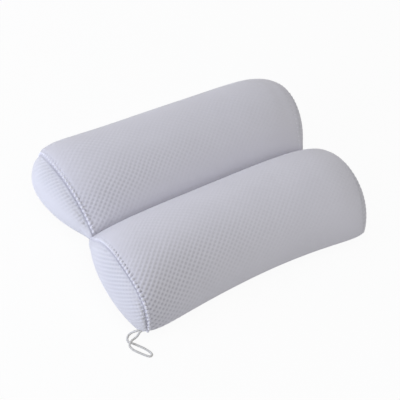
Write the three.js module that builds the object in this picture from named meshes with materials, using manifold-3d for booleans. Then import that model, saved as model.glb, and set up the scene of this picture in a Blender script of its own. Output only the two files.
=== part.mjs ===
// A folding bath pillow: two half-round bolster rolls of spacer mesh, joined along a sewn hinge.
// X runs along the rolls, Y from the front roll to the back roll, Z up from the surface under the cups.
import * as THREE from 'three';
import { mergeVertices } from 'three/addons/utils/BufferGeometryUtils.js';
import Module from 'manifold-3d';

// Driving dimensions, in millimetres.

// The two rolls are alike.
const rollDepth = 146; // from the hinge to the outer edge, at mid length
const rollHeight = 72; // from the base panel's underside to the crown
const seamLength = 310; // between a roll's two end seams
const crownPower = 2.15; // 2 makes the section half an ellipse, more makes it squarer
const edgeHeight = 8.5; // widest line of a roll, and the hinge, over the base panel
const hingeRamp = 50; // run of the slope from the flat base up to the hinge
const rampEase = 1.5; // 1 makes that slope straight, more makes it hollow
const outerTuck = 12; // how far the cover turns under at the outer edge
const waistDraw = 11; // what the sewing draws in at a roll's waist
const cornerDraw = 8; // what it draws in at the corners
const endLean = 8; // depth gained at the left ends and lost at the right ends
const endDrop = 12.5; // fall of the crown towards the end seams
const cornerPower = 8; // a higher power keeps the draw and the drop nearer the ends

// End panels: leaf shapes that swell past their seams, fullest towards the outer edge.
const seamBow = 6; // how far the middle of an end seam bows out
const endBulge = 17;
const baseBulge = 10.5; // the same, at the panel's lower edge
const bulgeLevel = 0.34; // share of the panel's height where it is fullest
const hingeTaper = 0.9; // a higher power thins the swelling towards the hinge
const outerTaper = 0.64; // and towards the outer edge
const leafTip = 8; // length left off the leaf's two sharp tips

// Fabric, filling and sewing.
const coverThickness = 4;
const endThickness = 3;
const baseThickness = 3;
const clearance = 0.3;
const fillingEase = 1.5; // room between the filling and the swollen end panels
const seamBead = 4.4; // diameter of the overlocked seam round an end panel
const seamSink = 1.2; // depth of its middle under the fabric's face
const seamStart = 6; // height over the hinge where it begins
const seamTurn = Math.PI / 4; // how far it follows the cover's turn under the outer edge
const baseSeamBead = 3.4;
const baseSeamSink = 1.5;
const webWidth = 8;
const webThickness = 1.8;
const stitchWidth = 2.6;
const stitchHeight = 1.3;

// Suction cups, each held by an eyelet in a base panel.
const cupDiameter = 46;
const cupBell = 9; // height of the bell from its rim to its shoulder
const cupHollow = 3.6;
const lipWidth = 2.4;
const lipThickness = 1;
const shoulderDiameter = 15;
const neckDiameter = 9;
const headDiameter = 17;
const headThickness = 3.6;
const eyeletWall = 1.6;
const eyeletFlange = 1.2; // thickness of each of its two flanges
const eyeletDiameter = 22;
const neckPlay = 0.4; // radial play of the neck in its eyelet
const cupInset = 55; // from an end seam
const cupReach = 82; // from the hinge
const recessRoom = 1; // room round an eyelet and over a cup's head in the filling

// Hanging loop: a cord sewn into the lower end of the front roll's left seam.
const cordDiameter = 2.6;
const tackSize = new THREE.Vector3(5, 6.4, 2.8);

// Counts of steps on curved faces.
const stationSteps = 12;
const crownSteps = 14;
const tuckSteps = 3;
const leafSteps = 10;
const leafRows = 5;
const baseSteps = 9;
const cupSides = 24;
const bellSteps = 4;
const beadSides = 6;
const cordSides = 8;
const endSeamSteps = 26;
const baseSeamSteps = 14;
const cordSteps = 44;

// Sizes that follow from those above.
const hingeGap = Math.hypot(webWidth, webThickness) / 2 + clearance;
const seamRoom = seamBead / 2 + clearance;
const baseSeamRoom = baseSeamBead / 2 + 2 * clearance;
const panelInset = Math.max(coverThickness, seamSink + seamBead / 2) + clearance;
const standHeight = cupBell + eyeletFlange + 2 * clearance;
const headHeight = standHeight + baseThickness + eyeletFlange + 2 * clearance;
const boreRadius = neckDiameter / 2 + neckPlay;
const barrelRadius = boreRadius + eyeletWall;
const recessRadius = Math.max(eyeletDiameter, headDiameter) / 2 + recessRoom;
const recessHeight = headHeight + headThickness + recessRoom - standHeight;

const rolls = [
  { name: 'front', side: -1 },
  { name: 'back', side: 1 },
];
const ends = [
  { name: 'left', side: -1 },
  { name: 'right', side: 1 },
];

const wasm = await Module();
wasm.setup();

// Materials.
const finish = (color, roughness) => () => new THREE.MeshStandardMaterial({ color, roughness, metalness: 0 });
const meshFabric = finish(0xd3d4e2, 0.9);
const endFabric = finish(0xdcdcec, 0.9);
const baseFabric = finish(0xcfd0da, 0.9);
const thread = finish(0xe4e4ee, 0.8);
const foam = finish(0xf0efe6, 0.95);
const softVinyl = finish(0xdfe6ea, 0.25);
const whitePlastic = finish(0xf2f2f2, 0.45);
const cordYarn = finish(0xdcdcd8, 0.8);

// Form of a roll. Along it, u runs from -1 at the left end seam to 1 at the right one.
const depthAt = (u) =>
  rollDepth - hingeGap + waistDraw * u ** 2 - cornerDraw * u ** cornerPower - endLean * u;
const heightAt = (u) => rollHeight - endDrop * u ** cornerPower;
const acrossAt = (u, y) => THREE.MathUtils.clamp((y - hingeGap) / depthAt(u), 0, 1);

// Height of the crown and of the underside over the base panel, at a distance y from the hinge.
function crownAt(u, y) {
  const off = Math.abs(2 * acrossAt(u, y) - 1);
  const rise = heightAt(u) - edgeHeight;
  return edgeHeight + rise * (1 - off ** crownPower) ** (1 / crownPower);
}

function undersideAt(u, y) {
  const outer = hingeGap + depthAt(u);
  const ramp = Math.max(0, 1 - (y - hingeGap) / hingeRamp);
  const tuck = THREE.MathUtils.clamp(1 - (outer - y) / outerTuck, 0, 1);
  return edgeHeight * (ramp ** rampEase + 1 - Math.sqrt(1 - tuck ** 2));
}

// Section of the cover: from the hinge edge over the crown, then under the outer edge.
function outline(u, tuckEnd) {
  const span = depthAt(u);
  const rise = heightAt(u) - edgeHeight;
  const points = [];
  for (let i = 0; i <= crownSteps; i++) {
    const angle = (Math.PI * i) / crownSteps;
    const run = -Math.cos(angle);
    const across = (1 + Math.sign(run) * Math.abs(run) ** (2 / crownPower)) / 2;
    const up = Math.abs(Math.sin(angle)) ** (2 / crownPower);
    points.push(new THREE.Vector2(hingeGap + span * across, edgeHeight + rise * up));
  }
  for (let i = 1; i <= tuckSteps; i++) {
    const angle = (tuckEnd * i) / tuckSteps;
    const y = hingeGap + span - outerTuck * (1 - Math.cos(angle));
    points.push(new THREE.Vector2(y, edgeHeight * (1 - Math.sin(angle))));
  }
  return points;
}

// Moves an outline into the roll by a distance square to it.
function inset(points, distance) {
  return points.map((point, i) => {
    const before = points[Math.max(i - 1, 0)];
    const after = points[Math.min(i + 1, points.length - 1)];
    const along = after.clone().sub(before).normalize();
    return new THREE.Vector2(point.x + along.y * distance, point.y - along.x * distance);
  });
}

// Swelling of an end panel past its seam.
const bulgePeak = hingeTaper / (hingeTaper + outerTaper);
const leafShape = (across) => across ** hingeTaper * (1 - across) ** outerTaper;

function bulgeAt(u, point) {
  const low = undersideAt(u, point.x);
  const level = (point.y - low) / (crownAt(u, point.x) - low);
  const fullness = leafShape(acrossAt(u, point.x)) / leafShape(bulgePeak);
  const above = Math.max(0, (level - bulgeLevel) / (1 - bulgeLevel));
  const below = Math.max(0, (bulgeLevel - level) / bulgeLevel);
  return fullness * (endBulge * (1 - above ** 2) - (endBulge - baseBulge) * below ** 2);
}

// A section's point in space; reach is what it stands past the seam at the ends.
function place(roll, u, point, reach) {
  const across = acrossAt(u, point.x);
  const past = seamBow * 4 * across * (1 - across) + reach;
  const x = (u * seamLength) / 2 + Math.sign(u) * u ** 4 * past;
  return new THREE.Vector3(x, roll.side * point.x, point.y);
}

const stations = [];
for (let i = 0; i <= stationSteps; i++) {
  stations.push(Math.sin((Math.PI / 2) * ((2 * i) / stationSteps - 1)));
}

// A closed mesh from points and triangles, turned so that its faces point out.
function closedMesh(points, faces) {
  let volume = 0;
  for (let i = 0; i < faces.length; i += 3) {
    const [a, b, c] = [points[faces[i]], points[faces[i + 1]], points[faces[i + 2]]];
    volume += a.dot(b.clone().cross(c));
  }
  const geometry = new THREE.BufferGeometry().setFromPoints(points);
  geometry.setIndex(volume > 0 ? faces : faces.reverse());
  geometry.computeVertexNormals();
  return geometry;
}

// A plate between two grids of points that have the same rows and columns.
function plate(outer, inner) {
  const rows = outer.length;
  const columns = outer[0].length;
  const at = (layer, row, column) => (layer * rows + row) * columns + column;
  const faces = [];
  const quad = (a, b, c, d) => faces.push(a, b, c, a, c, d);
  for (let r = 0; r < rows - 1; r++) {
    for (let c = 0; c < columns - 1; c++) {
      quad(at(0, r, c), at(0, r, c + 1), at(0, r + 1, c + 1), at(0, r + 1, c));
      quad(at(1, r, c), at(1, r + 1, c), at(1, r + 1, c + 1), at(1, r, c + 1));
    }
  }
  for (let c = 0; c < columns - 1; c++) {
    const last = rows - 1;
    quad(at(0, 0, c), at(1, 0, c), at(1, 0, c + 1), at(0, 0, c + 1));
    quad(at(0, last, c), at(0, last, c + 1), at(1, last, c + 1), at(1, last, c));
  }
  for (let r = 0; r < rows - 1; r++) {
    const last = columns - 1;
    quad(at(0, r, 0), at(0, r + 1, 0), at(1, r + 1, 0), at(1, r, 0));
    quad(at(0, r + 1, last), at(0, r, last), at(1, r, last), at(1, r + 1, last));
  }
  return closedMesh([...outer.flat(), ...inner.flat()], faces);
}

// A round tube along a smooth curve through points.
function tube(points, diameter, sides, steps) {
  const section = new THREE.Shape();
  for (let i = 0; i < sides; i++) {
    const angle = (2 * Math.PI * i) / sides;
    const corner = [(diameter / 2) * Math.cos(angle), (diameter / 2) * Math.sin(angle)];
    if (i === 0) section.moveTo(...corner);
    else section.lineTo(...corner);
  }
  const extrudePath = new THREE.CatmullRomCurve3(points, false, 'centripetal');
  return new THREE.ExtrudeGeometry(section, { steps, extrudePath, bevelEnabled: false });
}

// Cuts round holes along Z into a closed mesh.
function toSolid(geometry) {
  const bare = geometry.clone();
  bare.deleteAttribute('normal');
  bare.deleteAttribute('uv');
  const merged = mergeVertices(bare, 1e-4);
  const vertProperties = Float32Array.from(merged.getAttribute('position').array);
  const triVerts = Uint32Array.from(merged.index.array);
  return new wasm.Manifold(new wasm.Mesh({ numProp: 3, vertProperties, triVerts }));
}

function drilled(geometry, centres, radius, bottom, top) {
  let solid = toSolid(geometry);
  for (const centre of centres) {
    const drill = new THREE.CylinderGeometry(radius, radius, top - bottom, cupSides);
    drill.rotateX(Math.PI / 2);
    drill.translate(centre.x, centre.y, (bottom + top) / 2);
    solid = solid.subtract(toSolid(drill));
  }
  const mesh = solid.getMesh();
  const result = new THREE.BufferGeometry();
  result.setAttribute('position', new THREE.BufferAttribute(mesh.vertProperties, 3));
  result.setIndex(new THREE.BufferAttribute(mesh.triVerts, 1));
  result.computeVertexNormals();
  return result;
}

// A turned piece: its profile is given as radius and height pairs.
function turned(profile) {
  const points = profile.map(([radius, height]) => new THREE.Vector2(radius, height));
  return new THREE.LatheGeometry(points, cupSides).rotateX(Math.PI / 2);
}

function add(parent, name, geometry, material) {
  const mesh = new THREE.Mesh(geometry, material());
  mesh.name = name;
  parent.add(mesh);
  return mesh;
}

// Top cover: one mesh panel from the hinge over the crown and under the outer edge.
const coverTuck = Math.acos((baseSeamRoom + coverThickness / 3) / outerTuck);

function topCover(roll) {
  const sheet = (depth) => stations.map((u) =>
    inset(outline(u, coverTuck), depth).map((point) => place(roll, u, point, -seamRoom)));
  return plate(sheet(0), sheet(coverThickness));
}

// Leaf-shaped end panel, inside the seam that joins it to the cover.
function endPanel(roll, u) {
  const outer = hingeGap + depthAt(u) - leafTip;
  const inner = hingeGap + leafTip;
  const face = (thickness) => {
    const rows = [];
    for (let r = 0; r <= leafRows; r++) {
      const row = [];
      for (let i = 0; i <= leafSteps; i++) {
        const y = inner + ((outer - inner) * (1 - Math.cos((Math.PI * i) / leafSteps))) / 2;
        const slope = crownAt(u, y + clearance) - crownAt(u, y - clearance);
        const top = crownAt(u, y) - panelInset * Math.hypot(1, slope / (2 * clearance));
        const bottom = undersideAt(u, y) + panelInset;
        const point = new THREE.Vector2(y, bottom + ((top - bottom) * r) / leafRows);
        row.push(place(roll, u, point, bulgeAt(u, point) - thickness));
      }
      rows.push(row);
    }
    return rows;
  };
  return plate(face(0), face(endThickness));
}

// Base panel: flat between the cups, sloping up to the hinge, with a hole for each eyelet.
function basePanel(roll, centres) {
  const row = (u, rise, swells) => {
    const inner = hingeGap + coverThickness + clearance;
    const outer = hingeGap + depthAt(u) - outerTuck - baseSeamRoom;
    const points = [];
    for (let i = 0; i <= baseSteps; i++) {
      const y = inner + ((outer - inner) * i) / baseSteps;
      const point = new THREE.Vector2(y, undersideAt(u, y));
      const reach = swells ? bulgeAt(u, point) : -seamRoom;
      point.y += rise;
      points.push(place(roll, u, point, reach));
    }
    return points;
  };
  const sheet = (rise) => [
    row(-1, rise, true),
    ...stations.map((u) => row(u, rise, false)),
    row(1, rise, true),
  ];
  const panel = plate(sheet(0), sheet(baseThickness));
  return drilled(panel, centres, barrelRadius + clearance, -edgeHeight, 2 * edgeHeight);
}

// Filling: one block of open foam that fills the cover, hollowed over each cup's head.
const endLevels = [0.4, 0.6, 0.8];
const footLevels = [0.24, 0.1, 0];

function core(roll, centres) {
  const upper = (u) => inset(outline(u, coverTuck), coverThickness + clearance)
    .slice(1, crownSteps + 1);
  const lower = (u) => upper(u).map((point, i, all) => {
    const inner = hingeGap + coverThickness + leafTip;
    const outer = hingeGap + depthAt(u) - outerTuck - baseSeamRoom;
    const y = inner + ((outer - inner) * i) / (all.length - 1);
    return new THREE.Vector2(y, undersideAt(u, y) + baseThickness + 2 * clearance);
  });
  const row = (u, points) => points.map((point) => place(roll, u, point, -seamRoom));
  const endRow = (u, level) => {
    const foot = lower(u);
    return upper(u).map((point, i) => {
      const between = foot[i].clone().lerp(point, level);
      return place(roll, u, between, bulgeAt(u, between) - endThickness - fillingEase);
    });
  };
  const sheet = (levels, points) => [
    ...levels.map((level) => endRow(-1, level)),
    ...stations.map((u) => row(u, points(u))),
    ...levels.toReversed().map((level) => endRow(1, level)),
  ];
  const block = plate(sheet(endLevels, upper), sheet(footLevels, lower));
  return drilled(block, centres, recessRadius, -edgeHeight, recessHeight);
}

// Overlocked seam between the cover and an end panel.
function endSeam(roll, u) {
  const path = inset(outline(u, seamTurn), seamSink);
  const shown = path.filter((point, i) => i > crownSteps / 2 || point.y > edgeHeight + seamStart);
  const points = shown.map((point) => place(roll, u, point, 0));
  return tube(points, seamBead, beadSides, endSeamSteps);
}

// Seam along the outer edge, between the cover's lower edge and the base panel.
function baseSeam(roll) {
  const points = stations.map((u) => {
    const y = hingeGap + depthAt(u) - outerTuck;
    return place(roll, u, new THREE.Vector2(y, baseSeamSink), -seamRoom);
  });
  return tube(points, baseSeamBead, beadSides, baseSeamSteps);
}

// Suction cup: a hollow bell with a flat lip, a neck and a head that holds it in its eyelet.
function suctionCup() {
  const rim = cupDiameter / 2;
  const shoulder = shoulderDiameter / 2;
  const neck = neckDiameter / 2;
  const head = headDiameter / 2;
  const hollow = [];
  const bell = [];
  for (let i = 0; i <= bellSteps; i++) {
    const share = i / bellSteps;
    hollow.push([(rim - lipWidth) * share, cupHollow * (1 - share ** 2)]);
    bell.push([rim + (shoulder - rim) * share, lipThickness + (cupBell - lipThickness) * share ** 2]);
  }
  return turned([
    ...hollow,
    [rim, 0],
    ...bell,
    [neck, cupBell],
    [neck, headHeight],
    [head, headHeight],
    [head, headHeight + headThickness / 2],
    [neck, headHeight + headThickness],
    [0, headHeight + headThickness],
  ]);
}

// Eyelet: a barrel through the base panel with a flange on each side of it.
function eyelet() {
  const flange = eyeletDiameter / 2;
  const bottom = standHeight - clearance;
  const top = standHeight + baseThickness + clearance;
  return turned([
    [boreRadius, bottom - eyeletFlange],
    [flange, bottom - eyeletFlange],
    [flange, bottom],
    [barrelRadius, bottom],
    [barrelRadius, top],
    [flange, top],
    [flange, top + eyeletFlange],
    [boreRadius, top + eyeletFlange],
    [boreRadius, bottom - eyeletFlange],
  ]);
}

// Hinge web: the fabric strip that both rolls are sewn to, with its row of stitches on top.
function strip(width, height, length) {
  const section = new THREE.Shape();
  const bevel = height / 3;
  section.moveTo(-width / 2, -height / 2 + bevel);
  section.lineTo(-width / 2 + bevel, -height / 2);
  section.lineTo(width / 2 - bevel, -height / 2);
  section.lineTo(width / 2, -height / 2 + bevel);
  section.lineTo(width / 2, height / 2 - bevel);
  section.lineTo(width / 2 - bevel, height / 2);
  section.lineTo(-width / 2 + bevel, height / 2);
  section.lineTo(-width / 2, height / 2 - bevel);
  const bar = new THREE.ExtrudeGeometry(section, { depth: length, bevelEnabled: false });
  bar.translate(0, 0, -length / 2);
  bar.rotateX(Math.PI / 2);
  return bar.rotateZ(Math.PI / 2);
}

// Hanging loop, from the tack round to the tack again: places from the tack's middle, heights over
// the surface below.
const loopRoute = [
  [-2.9, 1.6, 13.4], [-4.3, 1.6, 13.3], [-6.6, 2.2, 12], [-9, 5, 8.8], [-11.4, 8.1, 4.6], [-14.4, 8.9, 2],
  [-17.7, 6.6, 1.4], [-19.8, 3.6, 1.4], [-20.3, -0.1, 1.4], [-18.2, -3.1, 1.4], [-15.3, -6.7, 1.4],
  [-12, -11.7, 1.4], [-9.2, -16.3, 1.4], [-6.8, -20.9, 1.4], [-5, -25.6, 1.4], [-4.4, -29.7, 1.4],
  [-6, -31.7, 1.4], [-8.7, -31.2, 1.4], [-11.8, -27.8, 1.4], [-15.2, -22.7, 1.4], [-18.4, -17.7, 1.4],
  [-20.8, -13.1, 1.5], [-22.1, -9, 2.4], [-22, -6.7, 4.1], [-19.6, -4.3, 4.7], [-15.2, -2.1, 4.6],
  [-10.6, -1.3, 5.4], [-7.9, -1.5, 8.4], [-6.1, -1.7, 11.8], [-4.3, -1.6, 13.3], [-2.9, -1.6, 13.4],
].map((point) => new THREE.Vector3(...point));

// Assembly.
const pillow = new THREE.Group();

for (const roll of rolls) {
  const body = new THREE.Group();
  body.position.z = standHeight;
  pillow.add(body);
  const centres = ends.map((end) =>
    new THREE.Vector2(end.side * (seamLength / 2 - cupInset), roll.side * cupReach));

  add(body, `${roll.name}_core`, core(roll, centres), foam);
  add(body, `${roll.name}_top_cover`, topCover(roll), meshFabric);
  add(body, `${roll.name}_base_panel`, basePanel(roll, centres), baseFabric);
  add(body, `${roll.name}_base_seam`, baseSeam(roll), thread);
  ends.forEach((end, i) => {
    const label = `${roll.name}_${end.name}`;
    add(body, `${label}_end_panel`, endPanel(roll, end.side), endFabric);
    add(body, `${label}_end_seam`, endSeam(roll, end.side), thread);
    const ring = add(pillow, `${label}_cup_eyelet`, eyelet(), whitePlastic);
    const cup = add(pillow, `${label}_suction_cup`, suctionCup(), softVinyl);
    ring.position.set(centres[i].x, centres[i].y, 0);
    cup.position.set(centres[i].x, centres[i].y, 0);
  });
}

const hinge = new THREE.Group();
hinge.position.z = standHeight + edgeHeight;
pillow.add(hinge);
add(hinge, 'hinge_web', strip(webWidth, webThickness, seamLength - 2 * seamRoom), baseFabric);
const stitches = strip(stitchWidth, stitchHeight, seamLength - 4 * seamRoom);
const stitchLine = add(hinge, 'valley_stitching', stitches, thread);
stitchLine.position.z = (webThickness + stitchHeight) / 2 + clearance;

const corner = new THREE.Group();
const seamEnd = hingeGap + depthAt(-1) - outerTuck * (1 - Math.cos(seamTurn));
corner.position.x = -(seamLength / 2 + clearance + tackSize.x / 2);
corner.position.y = -(seamEnd - seamRoom - tackSize.y / 2);
pillow.add(corner);
const loopTack = add(corner, 'loop_tack', new THREE.BoxGeometry(...tackSize), thread);
loopTack.position.z = standHeight + panelInset - clearance - tackSize.z / 2;
add(corner, 'hanging_loop', tube(loopRoute, cordDiameter, cordSides, cordSteps), cordYarn);

export default pillow;
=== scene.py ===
"""Looks of a folding bath pillow: two mesh rolls on a sewn hinge, with suction cups and a cord loop."""

import math

import bpy
import numpy as np
from mathutils import Matrix, Vector


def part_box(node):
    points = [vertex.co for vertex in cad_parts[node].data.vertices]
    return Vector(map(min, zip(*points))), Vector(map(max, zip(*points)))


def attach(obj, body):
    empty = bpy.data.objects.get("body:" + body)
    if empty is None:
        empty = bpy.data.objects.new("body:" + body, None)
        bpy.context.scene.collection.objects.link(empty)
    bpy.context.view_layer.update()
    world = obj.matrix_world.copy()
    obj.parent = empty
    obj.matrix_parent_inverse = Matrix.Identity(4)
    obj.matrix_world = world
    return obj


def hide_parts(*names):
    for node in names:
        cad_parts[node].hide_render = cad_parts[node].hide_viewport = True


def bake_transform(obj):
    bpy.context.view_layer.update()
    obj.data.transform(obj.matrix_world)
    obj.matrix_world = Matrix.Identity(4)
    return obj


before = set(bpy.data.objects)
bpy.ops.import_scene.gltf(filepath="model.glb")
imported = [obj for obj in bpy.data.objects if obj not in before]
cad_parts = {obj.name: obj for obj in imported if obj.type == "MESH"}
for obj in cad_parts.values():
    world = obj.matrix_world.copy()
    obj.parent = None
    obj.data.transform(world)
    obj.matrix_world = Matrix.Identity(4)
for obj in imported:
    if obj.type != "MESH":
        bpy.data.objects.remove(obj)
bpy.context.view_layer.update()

bl_info = {
    "name": "Bath Pillow",
    "version": (1, 0, 0),
    "blender": (4, 5, 0),
    "location": "3D View > Sidebar > Bath Pillow",
    "description": "Dresses a folding bath pillow with mesh covers, seams, suction cups and a hanging loop",
    "category": "Object",
}

BASE_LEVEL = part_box("front_base_panel")[0].z
# The rolls and their ends, each with the side of the frame that it lies on, along Y and along X.
ROLLS = {"front": -1, "back": 1}
ENDS = {"left": -1, "right": 1}

# The loop's course from the seam round to the seam again, in metres.
LOOP_ROUTE = [
    (-0.1607, -0.146185, 0.0134), (-0.1621, -0.146185, 0.0133), (-0.1644, -0.145585, 0.0120),
    (-0.1668, -0.142785, 0.0088), (-0.1692, -0.139685, 0.0046), (-0.1722, -0.138885, 0.0020),
    (-0.1755, -0.141185, 0.0014), (-0.1776, -0.144185, 0.0014), (-0.1781, -0.147885, 0.0014),
    (-0.1760, -0.150885, 0.0014), (-0.1731, -0.154485, 0.0014), (-0.1698, -0.159485, 0.0014),
    (-0.1670, -0.164085, 0.0014), (-0.1646, -0.168685, 0.0014), (-0.1628, -0.173385, 0.0014),
    (-0.1622, -0.177485, 0.0014), (-0.1638, -0.179485, 0.0014), (-0.1665, -0.178985, 0.0014),
    (-0.1696, -0.175585, 0.0014), (-0.1730, -0.170485, 0.0014), (-0.1762, -0.165485, 0.0014),
    (-0.1786, -0.160885, 0.0015), (-0.1799, -0.156785, 0.0024), (-0.1798, -0.154485, 0.0041),
    (-0.1774, -0.152085, 0.0047), (-0.1730, -0.149885, 0.0046), (-0.1684, -0.149085, 0.0054),
    (-0.1657, -0.149285, 0.0084), (-0.1639, -0.149485, 0.0118), (-0.1621, -0.149385, 0.0133),
    (-0.1607, -0.149385, 0.0134),
]


def number(label, text, default, **options):
    """A property that holds one number, or as many as its default has."""
    if isinstance(default, tuple):
        return bpy.props.FloatVectorProperty(
            name=label, description=text, default=default, size=len(default), **options
        )
    return bpy.props.FloatProperty(name=label, description=text, default=default, **options)


def length(label, text, default):
    return number(label, text, default, unit="LENGTH", precision=4)


def colour(label, text, default):
    return number(label, text, default, subtype="COLOR", min=0, max=1)


class RollSizes(bpy.types.PropertyGroup):
    """Form of the rolls as they lie.

    Pairs are for the front and the back roll.
    Fours are for the front left, front right, back left and back right end.
    """

    depth: length("Depth", "From the hinge to the outer edge at mid length", (0.1444, 0.1454))
    height: length("Height", "From the base panel to the crown", (0.0728, 0.0747))
    seam_reach: length("Seam reach", "From mid length to an end seam", (0.1568, 0.1563, 0.1487, 0.1520))
    seam_bow: length(
        "Seam bow", "How far the middle of an end seam bows out", (0.0018, 0.0096, 0.0066, 0.0135)
    )
    seam_slant: length("Seam slant", "How far its outer part leans out", (0.0005, -0.0034, 0.0096, 0))
    corner_round: length(
        "Corner round", "How far its outer corner turns back", (0.0000, 0.0044, 0.0011, 0.0050)
    )
    hinge_round: length("Hinge round", "How far its hinge corner turns back", (0.0022, 0, -0.0010, 0.0030))
    waist_draw: length(
        "Waist draw", "Depth gained from the waist to an end", (0.0115, 0.0180, -0.0013, -0.0027)
    )
    corner_draw: length(
        "Corner draw", "What the sewing draws in at a corner", (0.0096, 0.0062, 0.0101, 0.0097)
    )
    crown_sag: length("Crown sag", "Dip in the crown right of mid length", (0, 0.0012))
    end_drop: length("End drop", "Fall of the crown towards an end seam", (0.0103, 0.0144, 0.0138, 0.0113))
    end_bulge: length(
        "End bulge", "Swelling of an end panel past its seam", (0.0150, 0.0130, 0.0221, 0.0130)
    )
    hinge_power: number(
        "Hinge power", "Section's power on the hinge side at an end", (1.60, 1.64, 1.60, 1.62)
    )
    outer_power: number("Outer power", "The same on the outer side", (2.96, 2.01, 2.96, 2.01))
    crown_power: number(
        "Crown power", "The same at mid length; 2 makes half an ellipse, more is squarer", 2.15
    )
    hinge_gap: length("Hinge gap", "From the hinge to the roll's inner edge", 0.0044)
    valley_gap: length("Valley gap", "The same where the stuffed rolls press together", 0.0010)
    valley_reach: length("Valley reach", "How far out from the hinge they press together", 0.0058)
    edge_height: length("Edge height", "Widest line of a roll over the base panel", 0.0085)
    hinge_ramp: length("Hinge ramp", "Run of the slope from the base up to the hinge", 0.050)
    outer_tuck: length("Outer tuck", "How far the cover turns under", 0.012)
    end_lean: length("End lean", "Depth gained at the left ends", 0.008)
    base_bulge: length("Base bulge", "Swelling at an end panel's lower edge", 0.0105)
    bulge_level: number("Bulge level", "Share of the height where a panel is fullest", 0.34)
    hinge_taper: number("Hinge taper", "Thins the swelling towards the hinge", 0.9)
    outer_taper: number("Outer taper", "Thins it towards the outer edge", 0.64)
    ramp_ease: number("Ramp ease", "1 makes the hinge slope straight", 1.5)
    draw_power: number("Draw power", "Keeps the corner draw near the ends", 12)
    drop_power: number("Drop power", "Keeps the drop near the ends", 8)


class ClothSizes(bpy.types.PropertyGroup):
    """Mesh fabric, how it swells over its filling and how the seams draw it in."""

    cell: length("Cell", "Diagonal of a diamond cell of the mesh", 0.0070)
    end_cell: length("End cell", "The same on the end panels", 0.0070)
    relief: length("Relief", "Depth of an open cell", 0.0015)
    crown_share: number("Crown share", "Depth of a closed cell, as a share of an open one", 0.19)
    opening: number("Opening", "How far the cells open on the shoulder, front and back", (1.2, 0.82))
    cell_spread: number(
        "Cell spread", "How much wider the cells are drawn at the left than at the right", (0.28, 0.12)
    )
    shoulder: number("Shoulder", "Where they open most, as a share of the way over the crown", (0.74, 0.29))
    shoulder_width: number("Shoulder width", "Width of that band", (0.16, 0.105))
    end_relief: length("End relief", "Depth of a cell on the end panels", 0.0018)
    lead: number("Lead", "How much more the steep threads stand out than those that cross them", 0.3)
    end_lead: number("End lead", "The same on the end panels", 0.5)
    rib_start: number(
        "Rib start", "Share of an end panel's height below its ribs, front and back", (0.08, 0.52)
    )
    end_turn: number(
        "End turn", "Turn of the end panels' threads, front and back", (0.11, -0.30), unit="ROTATION"
    )
    cover_thickness: length("Cover thickness", "Thickness of the mesh", 0.0024)
    groove: length("Groove", "Depth of the dip at an end seam", 0.0026)
    groove_width: length("Groove width", "Width of that dip", 0.0026)
    rim: length("Rim", "How far an end panel's rim rounds in towards the seam", 0.0024)
    rim_width: length("Rim width", "Width of that rounding", 0.0080)
    seam_fade: number("Seam fade", "Share of a seam's run in which it eases off at each end", 0.14)
    pucker: length("Pucker", "Height of the puckers that the stitches draw", 0.0004)
    pucker_reach: length("Pucker reach", "How far the puckers run from the seam", 0.007)
    needle_pit: length("Needle pit", "Depth of the dents where the needle went in", 0.0012)
    needle_gap: length("Needle gap", "From the seam to those dents", 0.0050)
    slack: length("Slack", "How much smaller the covers are before they swell", 0.002)
    swell_cap: length("Swell cap", "The furthest that a point may swell", 0.006)
    pressure: number("Pressure", "Push of the filling on the cloth", 90)
    stretch: number("Stretch", "Stiffness of the cloth against stretching", 5)
    ease: number("Ease", "How much larger than its bag the cloth was cut", 0.006)
    give: number("Give", "Share of the cloth's movement that the filling allows", 0.6)


class SewingSizes(bpy.types.PropertyGroup):
    """Seams, stitches and the hanging loop."""

    end_stitch_pitch: length("End stitch pitch", "From one end stitch to the next", 0.0056)
    end_stitch_length: length("End stitch length", "Length of an end stitch", 0.0046)
    end_stitch_width: length("End stitch width", "Width of an end stitch", 0.0040)
    end_stitch_height: length("End stitch height", "Height of an end stitch", 0.0030)
    end_stitch_inset: length("End stitch inset", "From the end panel's edge to the stitches", 0.0034)
    right_share: number("Right share", "How much the right seams stand out, beside the left ones", 0.3)
    base_stitch_pitch: length("Base stitch pitch", "From one base stitch to the next", 0.0048)
    valley_stitch_pitch: length("Valley stitch pitch", "From one valley stitch to the next", 0.0042)
    cord: length("Cord", "Diameter of the hanging loop's cord", 0.0026)


class CupSizes(bpy.types.PropertyGroup):
    """Suction cups and their eyelets."""

    diameter: length("Diameter", "Across the rim", 0.046)
    bell: length("Bell", "From the rim to the shoulder", 0.009)
    hollow: length("Hollow", "Depth of the hollow", 0.0036)
    lip_width: length("Lip width", "Width of the flat rim", 0.0024)
    lip_thickness: length("Lip thickness", "Thickness at the rim", 0.001)
    shoulder: length("Shoulder", "Diameter of the shoulder", 0.015)
    neck: length("Neck", "Diameter of the neck", 0.009)
    head: length("Head", "Diameter of the head", 0.017)
    head_thickness: length("Head thickness", "Thickness of the head", 0.0036)


class FinishColours(bpy.types.PropertyGroup):
    """Colours of the pieces."""

    mesh: colour("Mesh", "Threads of the top covers", (0.685, 0.675, 0.728))
    # The darker cell colours below are painted shade, laid into the cells' hollows and into the seams'
    # creases and dents.
    mesh_cell_shade: colour("Mesh cells", "Depth of the cover's cells", (0.43, 0.42, 0.47))
    ends: colour("End panels", "Threads of the end panels", (0.73, 0.725, 0.765))
    ends_cell_shade: colour("End cells", "Depth of the end panels' cells", (0.56, 0.555, 0.60))
    base: colour("Base", "Fine mesh of the base panels", (0.66, 0.66, 0.72))
    thread: colour("Thread", "Sewing thread", (0.80, 0.80, 0.86))
    foam: colour("Foam", "Filling", (0.82, 0.80, 0.72))
    cord: colour("Cord", "Hanging loop", (0.65, 0.64, 0.62))
    vinyl: colour("Vinyl", "Suction cups", (0.74, 0.79, 0.82))
    plastic: colour("Plastic", "Eyelets", (0.82, 0.82, 0.82))


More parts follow.
